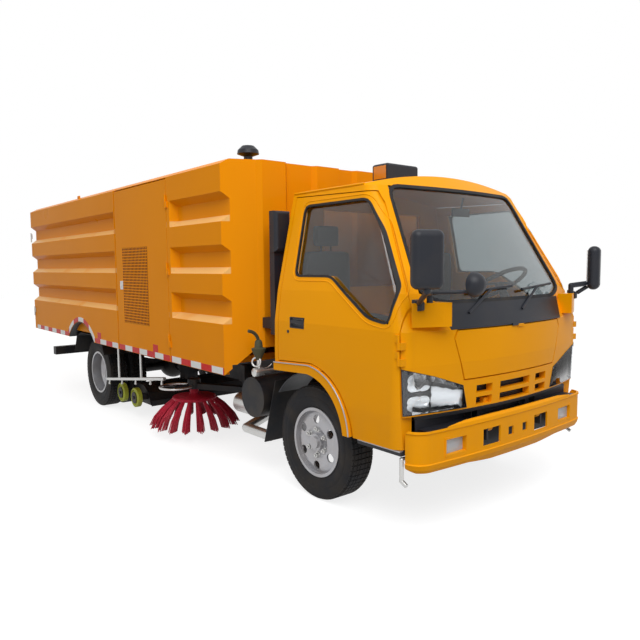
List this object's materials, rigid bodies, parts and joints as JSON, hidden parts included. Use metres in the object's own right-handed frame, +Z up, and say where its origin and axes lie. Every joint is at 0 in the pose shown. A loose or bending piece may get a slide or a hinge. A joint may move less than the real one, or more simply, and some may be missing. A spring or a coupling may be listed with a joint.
{
  "type": "street sweeper truck",
  "caption": "Light cab-over street sweeping truck with ribbed box body, tipping hopper, side brooms and suction nozzle.",
  "frame": {"origin": "on the road under the middle of the truck's overall length and width", "axes": "+X forward, +Y to the truck's left, +Z up"},
  "size_m": [6.755, 2.231, 2.4903],
  "materials": {
    "cab_yellow": "gloss paint",
    "body_orange": "gloss paint",
    "chassis_black": "satin paint",
    "engine_grey": "rough",
    "tyre_rubber": "matt",
    "rim_silver": "satin silver",
    "black_rubber": "matt",
    "lamp_lens": "clear moulded",
    "red_lens": "clear red",
    "bright_steel": "brushed",
    "black_plastic": "moulded",
    "glass": "tinted",
    "seat_cloth": "woven",
    "dark_trim": "grained",
    "amber_lens": "clear amber",
    "red_bristle": "bristle",
    "lime_rubber": "matt"
  },
  "bodies": {
    "root": {"frame": "chassis_black", "brackets": "chassis_black", "engines": "engine_grey", "front_axle": "chassis_black", "rear_axle": "chassis_black", "front_bumper": "cab_yellow", "fog_lamps": "lamp_lens", "front_jets": "bright_steel", "mudguards": "black_rubber", "rear_bumper": "chassis_black", "rear_lamps": "red_lens", "tanks": "chassis_black", "exhaust": "bright_steel", "air_snorkel": "black_plastic", "subframe": "chassis_black", "housing": "body_orange", "intake_cap": "black_plastic", "suction_duct": "black_rubber", "spray_bars": "bright_steel"},
    "cab": {"cab_shell": "cab_yellow", "cab_glass": "glass", "cowl_strip": "black_plastic", "headlamps": "lamp_lens", "arch_flares": "cab_yellow", "steps_liners": "black_plastic", "seats": "seat_cloth", "dashboard": "dark_trim", "mirrors": "black_plastic", "light_bar": "amber_lens"},
    "nose_lid": {"front_lid": "cab_yellow"},
    "cab_door_right": {"door_right": "cab_yellow", "door_glass_right": "glass"},
    "cab_door_left": {"door_left": "cab_yellow", "door_glass_left": "glass"},
    "steer_left": {"knuckle_left": "chassis_black"},
    "steer_right": {"knuckle_right": "chassis_black"},
    "front_wheel_left": {"front_tyre_left": "tyre_rubber", "front_rim_left": "rim_silver"},
    "front_wheel_right": {"front_tyre_right": "tyre_rubber", "front_rim_right": "rim_silver"},
    "rear_wheels_left": {"rear_tyres_left": "tyre_rubber", "rear_rims_left": "rim_silver"},
    "rear_wheels_right": {"rear_tyres_right": "tyre_rubber", "rear_rims_right": "rim_silver"},
    "bay_door_right": {"service_door_right": "body_orange"},
    "bay_door_left": {"service_door_left": "body_orange"},
    "tipping_hopper": {"hopper": "body_orange"},
    "rear_gate": {"tailgate": "body_orange"},
    "lift_barrel": {"tip_barrel": "chassis_black"},
    "lift_rod": {"tip_rod": "bright_steel"},
    "arm_right": {"broom_arm_right": "bright_steel"},
    "arm_left": {"broom_arm_left": "bright_steel"},
    "brush_right": {"broom_right": "red_bristle"},
    "brush_left": {"broom_left": "red_bristle"},
    "suction_nozzle": {"nozzle": "chassis_black"},
    "casters_rear": {"nozzle_wheels_rear": "lime_rubber"},
    "casters_front": {"nozzle_wheels_front": "lime_rubber"}
  },
  "joints": [
    {"name": "cab_tilt", "type": "hinge", "parent": "root", "child": "cab", "pos_m": [3.1775, 0, 0.58], "axis": [0, 1, 0], "range_deg": [0, 45]},
    {"name": "nose_lid_open", "type": "hinge", "parent": "cab", "child": "nose_lid", "pos_m": [3.2095, 0, 1.19], "axis": [0, -1, 0], "range_deg": [0, 60]},
    {"name": "cab_door_right_open", "type": "hinge", "parent": "cab", "child": "cab_door_right", "pos_m": [3.0655, -0.926, 1.1], "axis": [0, 0, 1], "range_deg": [0, 65]},
    {"name": "cab_door_left_open", "type": "hinge", "parent": "cab", "child": "cab_door_left", "pos_m": [3.0655, 0.926, 1.1], "axis": [0, 0, -1], "range_deg": [0, 65]},
    {"name": "steering_left", "type": "hinge", "parent": "root", "child": "steer_left", "pos_m": [2.2225, 0.62, 0.385], "axis": [0, 0, 1], "range_deg": [-33, 33]},
    {"name": "steering_right", "type": "hinge", "parent": "root", "child": "steer_right", "pos_m": [2.2225, -0.62, 0.385], "axis": [0, 0, 1], "range_deg": [-33, 33]},
    {"name": "front_wheel_left_spin", "type": "hinge", "parent": "steer_left", "child": "front_wheel_left", "pos_m": [2.2225, 0.752, 0.385], "axis": [0, 1, 0], "continuous": true},
    {"name": "front_wheel_right_spin", "type": "hinge", "parent": "steer_right", "child": "front_wheel_right", "pos_m": [2.2225, -0.752, 0.385], "axis": [0, 1, 0], "continuous": true},
    {"name": "rear_wheels_left_spin", "type": "hinge", "parent": "root", "child": "rear_wheels_left", "pos_m": [-1.5925, 0.715, 0.385], "axis": [0, 1, 0], "continuous": true},
    {"name": "rear_wheels_right_spin", "type": "hinge", "parent": "root", "child": "rear_wheels_right", "pos_m": [-1.5925, -0.715, 0.385], "axis": [0, 1, 0], "continuous": true},
    {"name": "bay_door_right_open", "type": "hinge", "parent": "root", "child": "bay_door_right", "pos_m": [0.6285, -1.108, 1.5], "axis": [0, 0, 1], "range_deg": [0, 110]},
    {"name": "bay_door_left_open", "type": "hinge", "parent": "root", "child": "bay_door_left", "pos_m": [0.6285, 1.108, 1.5], "axis": [0, 0, -1], "range_deg": [0, 110]},
    {"name": "hopper_tip", "type": "hinge", "parent": "root", "child": "tipping_hopper", "pos_m": [-2.8775, 0, 0.77], "axis": [0, -1, 0], "range_deg": [0, 42]},
    {"name": "gate_open", "type": "hinge", "parent": "tipping_hopper", "child": "rear_gate", "pos_m": [-3.3025, 0, 2.346], "axis": [0, 1, 0], "range_deg": [0, 80]},
    {"name": "barrel_swing", "type": "hinge", "parent": "root", "child": "lift_barrel", "pos_m": [-0.6775, 0, 0.75], "axis": [0, 1, 0], "range_deg": [0, 29.66]},
    {"name": "rod_slide", "type": "slide", "parent": "lift_barrel", "child": "lift_rod", "axis": [-0.9988, 0, 0.0499], "range_m": [0, 0.5742]},
    {"name": "arm_right_swing", "type": "hinge", "parent": "root", "child": "arm_right", "pos_m": [0.6725, -0.405, 0.455], "axis": [0, 0, 1], "range_deg": [0, 25]},
    {"name": "arm_left_swing", "type": "hinge", "parent": "root", "child": "arm_left", "pos_m": [0.6725, 0.405, 0.455], "axis": [0, 0, -1], "range_deg": [0, 25]},
    {"name": "brush_right_spin", "type": "hinge", "parent": "arm_right", "child": "brush_right", "pos_m": [0.1925, -0.66, 0.345], "axis": [0, 0, 1], "continuous": true},
    {"name": "brush_left_spin", "type": "hinge", "parent": "arm_left", "child": "brush_left", "pos_m": [0.1925, 0.66, 0.345], "axis": [0, 0, -1], "continuous": true},
    {"name": "nozzle_lower", "type": "slide", "parent": "root", "child": "suction_nozzle", "axis": [0, 0, -1], "range_m": [0, 0.11]},
    {"name": "casters_rear_spin", "type": "hinge", "parent": "suction_nozzle", "child": "casters_rear", "pos_m": [-1.0675, 0, 0.225], "axis": [0, 1, 0], "continuous": true},
    {"name": "casters_front_spin", "type": "hinge", "parent": "suction_nozzle", "child": "casters_front", "pos_m": [-0.7075, 0, 0.225], "axis": [0, 1, 0], "continuous": true}
  ],
  "couplings": [
    {"joint": "steering_right", "follows": "steering_left", "ratio": 1},
    {"joint": "barrel_swing", "follows": "hopper_tip", "ratio": 0.70495},
    {"joint": "rod_slide", "follows": "hopper_tip", "m_per_rad": 0.78192}
  ]
}
